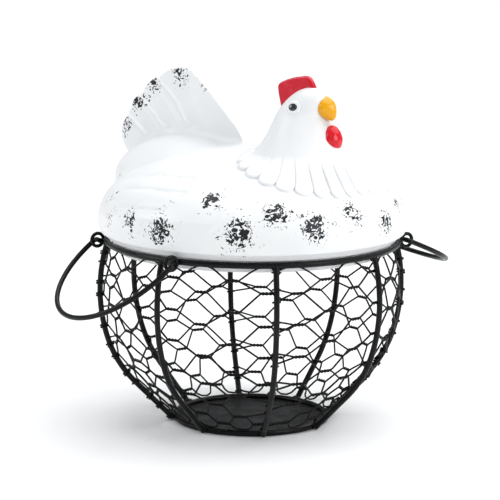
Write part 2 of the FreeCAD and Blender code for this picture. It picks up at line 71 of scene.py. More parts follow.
def add_node(tree, kind, **settings):
    """A shader node, each setting one of its properties or, failing that, an input's value or link."""
    node = tree.nodes.new(kind)
    for name, value in settings.items():
        label = name.replace("_", " ")
        if hasattr(node, name):
            setattr(node, name, value)
        elif isinstance(value, bpy.types.NodeSocket):
            tree.links.new(value, node.inputs[label])
        else:
            node.inputs[label].default_value = value
    return node


def noise(tree, where, scale, detail=2.0, distortion=0.0):
    """A noise pattern's value; its scale is in cells to the metre, a number or a socket."""
    node = add_node(tree, "ShaderNodeTexNoise", Vector=where, Scale=scale, Detail=detail)
    node.inputs["Distortion"].default_value = distortion
    return node.outputs["Fac"]


def ramp(tree, value, low, high, out_low=0.0, out_high=1.0):
    """A value moved smoothly from one span to another."""
    node = add_node(tree, "ShaderNodeMapRange", interpolation_type="SMOOTHSTEP")
    for socket, number in (("Value", value), ("From Min", low), ("From Max", high)):
        if isinstance(number, bpy.types.NodeSocket):
            tree.links.new(number, node.inputs[socket])
        else:
            node.inputs[socket].default_value = number
    node.inputs["To Min"].default_value = out_low
    node.inputs["To Max"].default_value = out_high
    return node.outputs["Result"]


def maths(tree, operation, first, second):
    """One sum of two numbers or sockets."""
    node = add_node(tree, "ShaderNodeMath", operation=operation)
    for socket, value in zip(node.inputs, (first, second)):
        if isinstance(value, bpy.types.NodeSocket):
            tree.links.new(value, socket)
        else:
            socket.default_value = value
    return node.outputs["Value"]


def blend_colour(tree, share, first, second):
    """Two colours or colour sockets mixed by a value."""
    node = add_node(tree, "ShaderNodeMix", data_type="RGBA")
    tree.links.new(share, node.inputs["Factor"])
    for socket, colour in ((node.inputs["A"], first), (node.inputs["B"], second)):
        if isinstance(colour, bpy.types.NodeSocket):
            tree.links.new(colour, socket)
        else:
            socket.default_value = (*colour, 1)
    return node.outputs["Result"]


enamel_skin, skin_in, skin_out = new_group(
    "Enamel skin",
    {"Peel size": 900.0, "Gloss": 0.34},
    ("Roughness", "Height", "Dust", "Chips"),
)
place = add_node(enamel_skin, "ShaderNodeTexCoord").outputs["Object"]
peel = noise(enamel_skin, place, skin_in.outputs["Peel size"], 3.0)
cloud = noise(enamel_skin, place, 95.0, 3.0)
rough = maths(enamel_skin, "MULTIPLY_ADD", ramp(enamel_skin, cloud, 0.35, 0.65, -0.07, 0.10), 1.0)
enamel_skin.links.new(skin_in.outputs["Gloss"], rough.node.inputs[2])
enamel_skin.links.new(rough, skin_out.inputs["Roughness"])
enamel_skin.links.new(peel, skin_out.inputs["Height"])
lie = add_node(enamel_skin, "ShaderNodeNewGeometry").outputs["Normal"]
upward = add_node(enamel_skin, "ShaderNodeSeparateXYZ", Vector=lie).outputs["Z"]
dust = maths(enamel_skin, "MULTIPLY", ramp(enamel_skin, upward, 0.2, 1.0), cloud)
enamel_skin.links.new(dust, skin_out.inputs["Dust"])
chips = ramp(enamel_skin, noise(enamel_skin, place, 420.0, 4.0), 0.745, 0.775)
enamel_skin.links.new(chips, skin_out.inputs["Chips"])


def enamel(name, peel_size=900.0, gloss=0.34):
    """Satin black enamel on steel wire or sheet."""
    material = bpy.data.materials.new(name)
    material.use_nodes = True
    tree = material.node_tree
    shader = tree.nodes["Principled BSDF"]
    skin = add_node(tree, "ShaderNodeGroup", node_tree=enamel_skin)
    skin.inputs["Peel size"].default_value = peel_size
    skin.inputs["Gloss"].default_value = gloss
    dusty = maths(tree, "MULTIPLY", skin.outputs["Dust"], 0.16)
    black = blend_colour(tree, dusty, (0.0014, 0.0014, 0.0018), (0.010, 0.010, 0.010))
    chipped = blend_colour(tree, skin.outputs["Chips"], black, (0.08, 0.075, 0.07))
    tree.links.new(chipped, shader.inputs["Base Color"])
    tree.links.new(skin.outputs["Roughness"], shader.inputs["Roughness"])
    peel_bump = {"Height": skin.outputs["Height"], "Strength": 0.35, "Distance": 0.12 * mm}
    bump = add_node(tree, "ShaderNodeBump", **peel_bump)
    tree.links.new(bump.outputs["Normal"], shader.inputs["Normal"])
    shader.inputs["Specular IOR Level"].default_value = 0.2
    return material


def repaint(nodes, material):
    """Give CAD nodes one material in place of their own."""
    for node in nodes:
        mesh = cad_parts[node].data
        mesh.materials.clear()
        mesh.materials.append(material)


ring_enamel = enamel("ring enamel")
sheet_enamel = enamel("sheet enamel", peel_size=600.0, gloss=0.42)
repaint(["rim_ring", "base_ring"], ring_enamel)
repaint(["base_plate"], sheet_enamel)

# ---- Ribs and their welds ----
# Eight ribs of 3.5 mm steel wire, bowed over a former and spot welded under the rim and onto the
# base ring. Each weld leaves a small smooth bead that the enamel rounds over.

rib_count = 8
ribs = [f"rib_{number}" for number in range(1, rib_count + 1)]
rib_wire = 3.5 * mm
first_rib = math.radians(22.5)
rib_pitch = 2 * math.pi / rib_count
base_radius = 47 * mm
bead_size = Vector((2.8, 2.6, 1.9)) * mm
bead_slump = 0.12 * mm
top_bead_in, low_bead_out, low_bead_level = 0.3 * mm, 1.7 * mm, 2.6 * mm
rib_enamel = enamel("rib enamel")
repaint(ribs, rib_enamel)


def start_piece(add, **settings):
    """Add a primitive with nothing else selected, its place and size kept in its mesh."""
    if bpy.ops.object.mode_set.poll():
        bpy.ops.object.mode_set(mode="OBJECT")
    bpy.ops.object.select_all(action="DESELECT")
    add(**settings)
    piece = bpy.context.object
    bpy.ops.object.transform_apply(location=True, rotation=True, scale=True)
    return piece


def weld_bead(name, radius, level):
    """A bead of weld metal: a ball pressed flat along the rib, its top slumped a little."""
    bead = start_piece(bpy.ops.mesh.primitive_uv_sphere_add, segments=16, ring_count=10, radius=1)
    bead.name = name
    bpy.ops.object.mode_set(mode="EDIT")
    bpy.ops.mesh.select_all(action="SELECT")
    bpy.ops.transform.resize(value=bead_size, center_override=(0, 0, 0))
    bpy.ops.transform.translate(value=(radius, 0, level))
    bpy.ops.transform.vertex_random(offset=bead_slump, uniform=0.5, normal=0.0, seed=7)
    bpy.ops.object.mode_set(mode="OBJECT")
    bpy.ops.object.shade_smooth()
    return bead


def copy_round(piece, count, first, pitch):
    """Copy a piece about the basket's axis, and join the copies into one."""
    copies = []
    for number in range(count):
        copy = piece.copy()
        copy.data = piece.data.copy()
        copy.data.transform(Matrix.Rotation(first + number * pitch, 4, "Z"))
        bpy.context.scene.collection.objects.link(copy)
        copies.append(copy)
    bpy.data.objects.remove(piece)
    return join_pieces(copies)


def join_pieces(pieces):
    """Join pieces into the first of them."""
    bpy.ops.object.select_all(action="DESELECT")
    for piece in pieces:
        piece.select_set(True)
    bpy.context.view_layer.objects.active = pieces[0]
    bpy.ops.object.join()
    return pieces[0]


def finish_piece(piece, name, material, body):
    """Name a finished piece, give it its material, and let it ride on its body."""
    piece.name = name
    piece.data.name = name
    piece.data.materials.clear()
    piece.data.materials.append(material)
    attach(piece, body)


top_bead = weld_bead("top bead", rim_radius - top_bead_in, rim_level - rim_wire / 2)
low_bead = weld_bead("low bead", base_radius + low_bead_out, low_bead_level)
top_beads = copy_round(top_bead, rib_count, first_rib, rib_pitch)
low_beads = copy_round(low_bead, rib_count, first_rib, rib_pitch)
finish_piece(top_beads, "rim_weld_beads", rib_enamel, "basket")
finish_piece(low_beads, "base_weld_beads", rib_enamel, "basket")

# ---- Netting ----
# Four sheets of 16 mm hexagonal netting, twisted from 1.2 mm wire, each laid inside two bays and
# pulled down to the base. The cut ends are tucked behind the rib at each seam or wrapped round it,
# and the netting is dipped in the same enamel as the cage.

net_wire = 1.2 * mm
net_apart = 0.52 * mm
net_inset = 2.9 * mm
net_first, net_row, net_skew, net_curl = 9 * mm, 9.3 * mm, 1.9 * mm, 0.06 * mm
net_top, net_last = 0.4 * mm, 123.5 * mm
net_rows = 13
net_pitch = math.radians(12.1)
net_twist = 8.6 * mm
net_stray, net_drop = math.radians(0.5), 0.5 * mm
twist_turns, twist_steps, wrap_steps = 2, 8, 10
tuck_turns, fewest_turns, most_turns = 0.25, 1.1, 1.8
wrap_gap, end_pull = 0.05 * mm, 0.25
seam_first = math.radians(-22.5)
sheet_starts = (4, 6.5, 1.5, -4.4)
sheet_leans = (3, -2, 1, 5)
seam_reach = math.radians(3)
belly_drop, belly_curve, heel_curve = 30 * mm, 100 * mm, 71.2 * mm
heel_slope = math.radians(45)
foot = Vector((49.4 * mm, 1.5 * mm))
upper_centre = Vector((rim_radius - math.sqrt(belly_curve**2 - belly_drop**2), rim_level - belly_drop))
slope_out = Vector((math.sin(heel_slope), -math.cos(heel_slope)))
bow_turn = math.acos(((foot - upper_centre).dot(slope_out) - heel_curve) / (belly_curve - heel_curve))
bow_join = heel_slope - bow_turn
join_out = Vector((math.cos(bow_join), -math.sin(bow_join)))
lower_centre = upper_centre + join_out * (belly_curve - heel_curve)
bow_start = -math.asin(belly_drop / belly_curve)


def on_bow(angle, along, inset):
    """A point of the netting from its direction, its way down a rib and its depth inside the cage."""
    upper, lower = belly_curve - net_inset, heel_curve - net_inset
    first = upper * (bow_join - bow_start)
    second = lower * (heel_slope - bow_join)
    if along < first:
        turn = bow_start + along / upper
        flat = upper_centre + Vector((math.cos(turn), -math.sin(turn))) * (belly_curve - inset)
    elif along < first + second:
        turn = bow_join + (along - first) / lower
        flat = lower_centre + Vector((math.cos(turn), -math.sin(turn))) * (heel_curve - inset)
    else:
        down = Vector((slope_out.y, -slope_out.x))
        flat = lower_centre + slope_out * (heel_curve - inset) + down * (along - first - second)
    return Vector((flat.x * math.cos(angle), flat.x * math.sin(angle), flat.y))


def bow_radius(along):
    return on_bow(0, along, net_inset).x


def twist_line(line):
    """How far down the ribs one line of twists lies."""
    return net_first + line * net_row + line * line * net_curl - (line % 2) * net_skew


def twist_route(middle, along, side):
    """One wire's way through a twist, as (direction, way down, depth); side is 1 for the lower wire."""
    points = []
    for step in range(twist_turns * twist_steps + 1):
        share = step / (twist_turns * twist_steps)
        turn = 2 * math.pi * twist_turns * share
        angle = middle + (share - 0.5) * net_twist / bow_radius(along)
        down = along + side * net_apart * math.cos(turn)
        points.append((angle, down, net_inset + side * net_apart * math.sin(turn)))
    return points


def wrap_route(rib, along, way, turns, slip):
    """A cut end wound round a rib, from behind it; way is 1 where the sheet ends there."""
    reach = (rib_wire + net_wire) / 2 + wrap_gap
    points = []
    for step in range(int(turns * wrap_steps) + 1):
        turn = 2 * math.pi * step / wrap_steps
        angle = rib + way * reach * math.sin(turn) / bow_radius(along)
        points.append((angle, along + slip * turn / (2 * math.pi), reach * math.cos(turn)))
    return points


def net_route(row, seam, start, lean, wander, ends):
    """One wire of a sheet from seam to seam: it twists by turns with its neighbours above and below.

    ends gives how many turns each cut end takes round its rib.
    """
    route = []
    for column in range(math.ceil((2 * rib_pitch - start) / net_pitch)):
        upper = (column + row) % 2
        line = row - 1 if upper else row
        shift, drop = wander[line, column]
        plain = line < 0 or line == net_rows - 1
        along = (net_top if line < 0 else net_last) if plain else twist_line(line) + drop
        middle = seam + start + column * net_pitch + lean * along / net_last + shift
        if not seam + seam_reach < middle < seam + 2 * rib_pitch - seam_reach:
            continue
        if plain:
            half = net_twist / 2 / bow_radius(along)
            route += [(middle - half, along, net_inset), (middle + half, along, net_inset)]
        else:
            route += twist_route(middle, along, 1 if upper else -1)
    middle_line = (max(twist_line(row - 1), net_top) + min(twist_line(row), net_last)) / 2
    for end, way, rib, turns in ((0, -1, seam, ends[0]), (-1, 1, seam + 2 * rib_pitch, ends[1])):
        along = middle_line + end_pull * (route[end][1] - middle_line)
        wrap = wrap_route(rib, along, way, turns, net_wire * 1.1)
        route = wrap[::-1] + route if end == 0 else route + wrap
    return route


def wires(name, routes, thickness):
    """Round wires along their routes, as one mesh, coarse in section because they are slender."""
    curve = bpy.data.curves.new(name, "CURVE")
    curve.dimensions = "3D"
    curve.bevel_depth = thickness / 2
    curve.bevel_resolution = 1
    curve.resolution_u = 2
    curve.use_fill_caps = True
    for route in routes:
        spline = curve.splines.new("NURBS")
        spline.points.add(len(route) - 1)
        for point, spot in zip(spline.points, route):
            point.co = (*spot, 1)
        spline.order_u = 3
        spline.use_endpoint_u = True
    piece = bpy.data.objects.new(name, curve)
    bpy.context.scene.collection.objects.link(piece)
    bpy.ops.object.select_all(action="DESELECT")
    piece.select_set(True)
    bpy.context.view_layer.objects.active = piece
    bpy.ops.object.convert(target="MESH")
    piece = bpy.context.object
    bpy.ops.object.shade_smooth()
    return piece


net_enamel = enamel("netting enamel", peel_size=1500.0, gloss=0.38)
draw = random.Random(11)
for number in range(4):
    seam = seam_first + number * 2 * rib_pitch
    wander = {
        (line, column): (draw.uniform(-net_stray, net_stray), draw.uniform(-net_drop, net_drop))
        for line in range(-1, net_rows)
        for column in range(-1, 9)
    }
    start, lean = math.radians(sheet_starts[number]), math.radians(sheet_leans[number])
    wrapped = number % 2
    ends = [
        (tuck_turns, draw.uniform(fewest_turns, most_turns) if wrapped else tuck_turns)
        for row in range(net_rows)
    ]
    routes = [net_route(row, seam, start, lean, wander, ends[row]) for row in range(net_rows)]
    sheet = wires("netting sheet", [[on_bow(*spot) for spot in route] for route in routes], net_wire)
    finish_piece(sheet, f"netting_sheet_{number + 1}", net_enamel, "basket")
    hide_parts(f"netting_{2 * number + 1}", f"netting_{2 * number + 2}")

# ---- Bails and their eyes ----
# Each bail is one length of 3.1 mm wire, bent to a bow with its ends turned in through two eyes.
# The eyes are small rings of thinner wire, welded to the rim.

bail_enamel = enamel("bail enamel", gloss=0.3)
repaint(["left_bail", "right_bail"], bail_enamel)
eyes = [f"{side}_{end}_eye" for side in ("left", "right") for end in ("front", "back")]
repaint(eyes, rib_enamel)

# ---- Hen ----
# The lid: one hollow casting of white earthenware, a low round body with a feather cape, a neck
# and head, and an upright fan for a tail. The casting is fettled, glazed white, and sponged with
# black at the feather tips and round the flank before it is fired.

hen_heading = math.radians(-68.3)
hen_place = Matrix.Translation((0, 0, rim_level)) @ Matrix.Rotation(hen_heading, 4, "Z")
body_wide, body_level, body_rise = 95.5, 12.0, 45.5
flank_round, tuck_round = 30.0, 10.0
flank_centre = np.array((body_wide - flank_round, body_level))
back_round = (flank_centre[0] ** 2 + body_rise**2 - flank_round**2) / (2 * (body_rise - flank_round))
back_centre = np.array((0, body_level + body_rise - back_round))
flank_join = math.atan2(flank_centre[1] - back_centre[1], flank_centre[0])
foot_ring, foot_level, cut_level = 89.4, 2.05, 6.8
wall = 5.0
rump_size, rump_place = Vector((53, 35, 29.5)) * mm, Vector((-51, 0, 31)) * mm
tail_thick, tail_round = 15, 7
voxel = 1.25 * mm


def arc(centre, radius, start, end, steps):
    """Points round an arc, in the plane of an outline, angles in radians."""
    turns = np.linspace(start, end, steps + 1)
    return [(centre[0] + radius * math.cos(t), centre[1] + radius * math.sin(t)) for t in turns]


def trace(name, outline):
    """An open line drawn in the upright plane through the hen's length, one vertex after another."""
    piece = start_piece(bpy.ops.mesh.primitive_plane_add, size=mm)
    piece.name = name
    bpy.ops.object.mode_set(mode="EDIT")
    bpy.ops.mesh.merge(type="CENTER")
    bpy.ops.transform.translate(value=(outline[0][0] * mm, 0, outline[0][1] * mm))
    for (across, up), (to_across, to_up) in zip(outline, outline[1:]):
        move = ((to_across - across) * mm, 0, (to_up - up) * mm)
        bpy.ops.mesh.extrude_vertices_move(TRANSFORM_OT_translate={"value": move})
    bpy.ops.mesh.select_all(action="SELECT")
    return piece


def turned(name, outline, steps):
    """A shape turned on a wheel from an outline that starts and ends on its axis."""
    piece = trace(name, outline)
    bpy.ops.mesh.spin(steps=steps, angle=2 * math.pi, center=(0, 0, 0), axis=(0, 0, 1))
    bpy.ops.mesh.select_all(action="SELECT")
    bpy.ops.mesh.remove_doubles(threshold=0.01 * mm)
    bpy.ops.mesh.normals_make_consistent(inside=False)
    bpy.ops.object.mode_set(mode="OBJECT")
    return piece


def slab(name, outline, thick, round_edge):
    """A flat piece cut to an outline, as thick as asked, its edges rounded by stepped insets."""
    piece = trace(name, outline)
    bpy.ops.mesh.edge_face_add()
    core = (thick - 2 * round_edge) * mm
    bpy.ops.transform.translate(value=(0, -core / 2, 0))
    bpy.ops.mesh.extrude_region_move(TRANSFORM_OT_translate={"value": (0, core, 0)})
    bpy.ops.mesh.select_all(action="SELECT")
    bpy.ops.mesh.normals_make_consistent(inside=False)
    bpy.ops.mesh.select_all(action="DESELECT")
    shape = bmesh.from_edit_mesh(piece.data)
    for face in shape.faces:
        face.select = abs(face.normal.y) > 0.9
    bmesh.update_edit_mesh(piece.data)
    steps = arc((0, 0), round_edge * mm, 0, math.pi / 2, 6)
    for (left, low), (right, high) in zip(steps, steps[1:]):
        bpy.ops.mesh.inset(thickness=left - right, depth=high - low, use_even_offset=False)
    bpy.ops.object.mode_set(mode="OBJECT")
    return piece


def use_modifier(piece, kind, **settings):
    """Add a modifier and apply it."""
    bpy.ops.object.select_all(action="DESELECT")
    piece.select_set(True)
    bpy.context.view_layer.objects.active = piece
    modifier = piece.modifiers.new(kind.lower(), kind)
    for name, value in settings.items():
        setattr(modifier, name, value)
    bpy.ops.object.modifier_apply(modifier=modifier.name)


def read_points(piece):
    """A mesh's points in millimetres."""
    points = np.empty(len(piece.data.vertices) * 3)
    piece.data.vertices.foreach_get("co", points)
    return points.reshape(-1, 3) / mm


def write_points(piece, points):
    piece.data.vertices.foreach_set("co", (points * mm).ravel())
    piece.data.update()


def read_normals(piece):
    normals = np.empty(len(piece.data.vertices) * 3)
    piece.data.vertex_normals.foreach_get("vector", normals)
    return normals.reshape(-1, 3)


def fade(value, start, end):
    """0 up to start, 1 past end, and an easy curve between; end may be the smaller."""
    share = np.clip((value - start) / (end - start), 0, 1)
    return share * share * (3 - 2 * share)


def body_height(reach):
    """The back's height at a distance from the hen's upright axis."""
    reach = np.minimum(reach, body_wide - 0.01)
    join_reach = back_round * math.cos(flank_join)
    over_back = back_centre[1] + np.sqrt(back_round**2 - np.minimum(reach, back_round) ** 2)
    out = np.clip(reach - flank_centre[0], 0, flank_round)
    over_flank = flank_centre[1] + np.sqrt(flank_round**2 - out**2)
    return np.where(reach < join_reach, over_back, over_flank)


tuck_centre = (body_wide - tuck_round, body_level)
tuck_reach = tuck_centre[0] + math.sqrt(tuck_round**2 - (body_level - cut_level) ** 2)
body_outline = [(0, 0), (tuck_reach, 0)]
body_outline += arc(tuck_centre, tuck_round, math.asin((cut_level - body_level) / tuck_round), 0, 6)
body_outline += arc(flank_centre, flank_round, 0, flank_join, 14)[1:]
body_outline += arc(back_centre, back_round, flank_join, math.pi / 2, 24)[1:]
hen = turned("hen", body_outline, 160)

rump = start_piece(bpy.ops.mesh.primitive_uv_sphere_add, segments=64, ring_count=40, radius=1)
bpy.ops.object.mode_set(mode="EDIT")
bpy.ops.transform.resize(value=rump_size, center_override=(0, 0, 0))
bpy.ops.transform.translate(value=rump_place)
bpy.ops.object.mode_set(mode="OBJECT")


def chord_bulge(start, end, bulge, steps):
    """Points from start up to end, not including it, along an arc that stands out by bulge."""
    start, end = np.array(start, float), np.array(end, float)
    across = np.array((start[1] - end[1], end[0] - start[0]))
    across /= np.linalg.norm(across)
    shares = np.arange(steps) / steps
    out = 4 * bulge * shares * (1 - shares)
    spots = start + shares[:, None] * (end - start) + out[:, None] * across
    return [tuple(spot) for spot in spots]


fan_tips = ((-49, 102), (-73.5, 96.3), (-88.2, 84), (-98, 72), (-101.5, 47))
feather_bulges = (3.4, 2.9, 3.3, 6.4)
tail_outline = [(0, 40), (0, 55)] + chord_bulge((0, 56), fan_tips[0], -1.0, 8)
for start, end, bulge in zip(fan_tips, fan_tips[1:], feather_bulges):
    tail_outline += chord_bulge(start, end, -bulge, 7)
tail_outline += [fan_tips[-1], (-94, 36)]
tail = slab("tail", tail_outline, tail_thick, tail_round)

hen = join_pieces([hen, rump, tail])
use_modifier(hen, "REMESH", mode="VOXEL", voxel_size=voxel)
spots = read_points(hen)
reach = np.hypot(spots[:, 0], spots[:, 1])

# the tail and rump are smoothed into the back, most where the tail meets it
near_back = np.exp(-(((spots[:, 2] - body_height(reach)) / 9) ** 2))
behind = fade(spots[:, 0], 18, 6) * fade(np.abs(spots[:, 1]), 34, 26)
root = hen.vertex_groups.new(name="root")
for index, weight in enumerate(near_back * behind):
    if weight > 0.02:
        root.add([index], float(weight), "REPLACE")
use_modifier(hen, "SMOOTH", factor=0.5, iterations=4)
use_modifier(hen, "SMOOTH", factor=0.7, iterations=70, vertex_group="root")


def distance_to(points, corners, closed):
    """Distance from each point to a line through the corners, and which side of it the point is on."""
    starts, ends = (corners, np.roll(corners, -1, 0)) if closed else (corners[:-1], corners[1:])
    best, side = np.full(len(points), 1e9), np.zeros(len(points))
    for start, end in zip(starts, ends):
        way = end - start
        off = points - start
        share = np.clip(off @ way / (way @ way), 0, 1)
        away = np.linalg.norm(off - share[:, None] * way, axis=1)
        nearer = away < best
        best[nearer] = away[nearer]
        side[nearer] = np.sign(way[0] * off[:, 1] - way[1] * off[:, 0])[nearer]
    return best, side


# the tail's four feathers: creases from the notches between the tips, down and forward
spots, normals = read_points(hen), read_normals(hen)
crease_depth, crease_ahead, crease_behind, crease_fade = 2.8, 5.0, 2.2, 12
creases = (
    ((-73.5, 97), (-58, 83), (-46, 63)),
    ((-88.2, 84), (-76, 74), (-64.5, 60.5)),
    ((-98, 72), (-89, 65), (-80, 55.5)),
)
sink = np.zeros(len(spots))
side_view = spots[:, (0, 2)]
for crease in creases:
    crease = np.array(crease, float)
    aside, side = distance_to(side_view, crease, False)
    width = np.where(side > 0, crease_ahead, crease_behind)
    shown = fade(np.linalg.norm(side_view - crease[-1], axis=1), 0, crease_fade)
    sink = np.maximum(sink, crease_depth * np.exp(-aside / width) * shown)
sideways = np.abs(normals[:, 1]) ** 0.5
on_fan = fade(spots[:, 2] - body_height(np.hypot(spots[:, 0], spots[:, 1])), 0, 6)
spots[:, 1] -= np.sign(spots[:, 1]) * sink * sideways * on_fan
write_points(hen, spots)

# the wings: low relief on both flanks, laid out by angle off the heading and by rise; the bails
# swing up past the flank, so the relief stays inside flank_limit there
wing_outline = (
    (72, 14), (63, 21), (60, 30), (61, 39), (67, 46), (78, 49), (92, 46.5), (107, 46), (121, 43.5),
    (131, 38), (128, 34), (138, 31), (134, 26), (142, 21), (136, 14), (112, 9), (88, 9),
)
wing_feathers = (
    ((83, 31), (101, 30.5), (122, 28)),
    ((88, 23.5), (106, 22.5), (130, 19)),
    ((84, 39.5), (108, 38.5), (118, 36)),
)
wing_lift, feather_cut, feather_wide = 2.3, 1.3, 1.5
chart_drop, chart_scale = 10.0, 1.75
flank_limit, flank_top = 95.55, 30


def turn_and_rise(points):
    """Turn off the heading and rise above the horizon, in degrees, seen from below the middle."""
    turn = np.degrees(np.arctan2(points[:, 1], points[:, 0]))
    rise = np.degrees(np.arctan2(points[:, 2] + chart_drop, np.hypot(points[:, 0], points[:, 1])))
    return turn, rise


def flat_chart(turn, rise):
    """Turn and rise laid out flat, about a millimetre to the unit on the flank."""
    return np.stack((turn * np.cos(np.radians(rise)), rise), 1) * chart_scale


def inside(points, corners):
    """Which chart points lie inside the closed line."""
    within = np.zeros(len(points), bool)
    for start, end in zip(corners, np.roll(corners, -1, 0)):
        crosses = (start[1] > points[:, 1]) != (end[1] > points[:, 1])
        rise = end[1] - start[1] or 1e-9
        where = start[0] + (points[:, 1] - start[1]) * (end[0] - start[0]) / rise
        within ^= crosses & (points[:, 0] < where)
    return within


def softened(corners):
    """The closed line with its corners cut twice, so that it runs smoothly."""
    for _ in range(2):
        after = np.roll(corners, -1, 0)
        near, far = 0.75 * corners + 0.25 * after, 0.25 * corners + 0.75 * after
        corners = np.stack((near, far), 1).reshape(-1, 2)
    return corners


spots, normals = read_points(hen), read_normals(hen)
turn, rise = turn_and_rise(spots)
chart = flat_chart(np.abs(turn), rise)
outline = softened(flat_chart(*np.array(wing_outline, float).T))
depth = distance_to(chart, outline, True)[0] * np.where(inside(chart, outline), 1, -1)
lift = wing_lift * fade(depth, -1.2, 2.8)
for feather in wing_feathers:
    line = flat_chart(*np.array(feather, float).T)
    aside = distance_to(chart, line, False)[0]
    lift -= feather_cut * np.exp(-aside / feather_wide) * fade(depth, 1, 5)
lift *= 1 - 0.7 * fade(np.abs(turn), 108, 124)
low_flank = fade(spots[:, 2], 7, 16)
off_tail = fade(np.abs(spots[:, 1]), 18, 28)
lift *= low_flank * off_tail
spots += normals * lift[:, None]
reach = np.hypot(spots[:, 0], spots[:, 1])
under_bail = (lift > 0) & (spots[:, 2] < flank_top)
spots[:, :2] *= np.where(under_bail, np.minimum(1, flank_limit / reach), 1)[:, None]
write_points(hen, spots)

# the cape, neck and head: spun from one outline, then the cape is pushed out to its lobes and cut
cape_ahead, neck_ahead, crown_lean = 42.0, 38.0, 6.5
cape_lobes, groove_depth, groove_wide = 25, 1.9, 0.24
lobe_first = math.radians(7.2)


def behind_cape(turn):
    """1 at the nape, where the cape runs smoothly into the back, and 0 round its sides and front."""
    return fade(np.abs(np.degrees(turn)), 116, 142)


def cape_reach(turn):
    """How far the cape reaches from its axis, with a rounded lobe between every two grooves."""
    lobe = np.abs(np.sin(cape_lobes / 2 * (turn - lobe_first))) ** 0.6
    lobe += (0.75 - lobe) * behind_cape(turn)
    return 37.6 + 1.9 * np.cos(turn) + 9.5 * np.sin(turn) ** 2 + 3.6 * lobe


def smooth_run(corners, steps):
    """A smooth line through the corners."""
    corners = np.array(corners, float)
    padded = np.vstack((2 * corners[0] - corners[1], corners, 2 * corners[-1] - corners[-2]))
    run = []
    for a, b, c, d in zip(padded, padded[1:], padded[2:], padded[3:]):
        for share in np.arange(steps) / steps:
            curve = (2 * a - 5 * b + 4 * c - d) * share**2 + (3 * b - a - 3 * c + d) * share**3
            run.append(tuple(0.5 * (2 * b + (c - a) * share + curve)))
    return run + [tuple(corners[-1])]


rim_reach, rim_rise = 43, 43
cape_rings = ((43, 42.4), (42.5, 44.0), (40.2, 46.0), (37.2, 48.8), (33.4, 53.0))
neck_rings = ((28.5, 59), (22.9, 67.5), (18.8, 76), (16.2, 81.6), (14.6, 86))
head_rings = ((12.6, 90.6), (9.2, 94.6), (4.2, 97.0), (0, 97.4))
neck_outline = [(0, 30), (42, 30)] + smooth_run(cape_rings + neck_rings + head_rings, 5)
neck = turned("neck", neck_outline, 400)
spots = read_points(neck)
turn = np.arctan2(spots[:, 1], spots[:, 0])
reach = np.hypot(spots[:, 0], spots[:, 1])
low = fade(spots[:, 2], 59, 44)
wide = np.where(reach > 1, 1 + low * (cape_reach(turn) / rim_reach - 1), 1)
edge_ahead = cape_ahead + cape_reach(turn) * np.cos(turn)
edge_reach = np.hypot(edge_ahead, cape_reach(turn) * np.sin(turn))
edge_level = body_height(edge_reach) + 1.0 - 2.2 * behind_cape(turn)
spots[:, 0] *= wide
spots[:, 1] *= wide
spots[:, 2] += np.where(reach > 1, low * (edge_level - rim_rise), 0)
groove = np.abs(np.sin(cape_lobes / 2 * (turn - lobe_first)))
near_edge = fade(spots[:, 2] - 0.6 * (edge_level - rim_rise), 62, 52)
cut = groove_depth * np.exp(-groove / groove_wide) * near_edge * low**0.5
cut *= 1 - 0.6 * behind_cape(turn)
spots[:, 0] -= cut * np.cos(turn)
spots[:, 1] -= cut * np.sin(turn)
lean = fade(spots[:, 2], 80, 98)
spots[:, 0] += neck_ahead + (cape_ahead - neck_ahead) * low + crown_lean * lean
write_points(neck, spots)

# sponged black: each patch on the flank as (turn, rise, spread, strength), and on the tail as
# (ahead, level, spread, strength)
flank_patches = (
    (-124, 24, 4.5, 0.5), (-117, 17, 6, 0.75), (-103, 18, 7, 0.95), (-87, 17, 9, 1.2),
    (-86, 27, 6, 0.35), (-69, 29, 8, 1.0), (-58, 17, 10, 1.25), (-44, 24, 9, 1.2), (-30, 19, 9, 1.15),
    (-13, 23, 9, 0.95), (5, 18, 8, 0.95), (21, 22, 7, 0.7), (38, 19, 9, 1.1), (52, 25, 8, 0.9),
    (66, 18, 9, 1.15), (80, 27, 8, 0.9), (92, 17, 9, 1.1), (106, 25, 6, 0.5), (118, 17, 8, 1.0),
    (134, 22, 7, 0.8), (150, 18, 8, 1.0), (165, 26, 7, 0.8), (-178, 19, 8, 1.0), (-160, 24, 7, 0.8),
    (-144, 19, 8, 0.9),
)
tail_patches = (
    (-57, 98, 8, 0.9), (-80, 90, 6.5, 1.05), (-93, 78, 6, 1.1), (-103, 63, 7, 1.0),
    (-38, 92.5, 5, 0.8),
)


def sponge_load(points):
    """How much black each point took, from 0 to a little over 1."""
    load = np.zeros(len(points))
    turn, rise = turn_and_rise(points)
    for at_turn, at_rise, spread, strength in flank_patches:
        apart = (turn - at_turn + 180) % 360 - 180
        away = np.hypot(apart * np.cos(np.radians(rise)), rise - at_rise) * chart_scale
        load = np.maximum(load, strength * np.exp(-((away / spread) ** 2)))
    load *= fade(points[:, 2], 4, 7)
    for ahead, level, spread, strength in tail_patches:
        away = np.hypot(points[:, 0] - ahead, points[:, 2] - level)
        load = np.maximum(load, strength * np.exp(-((away / spread) ** 2)))
    return load


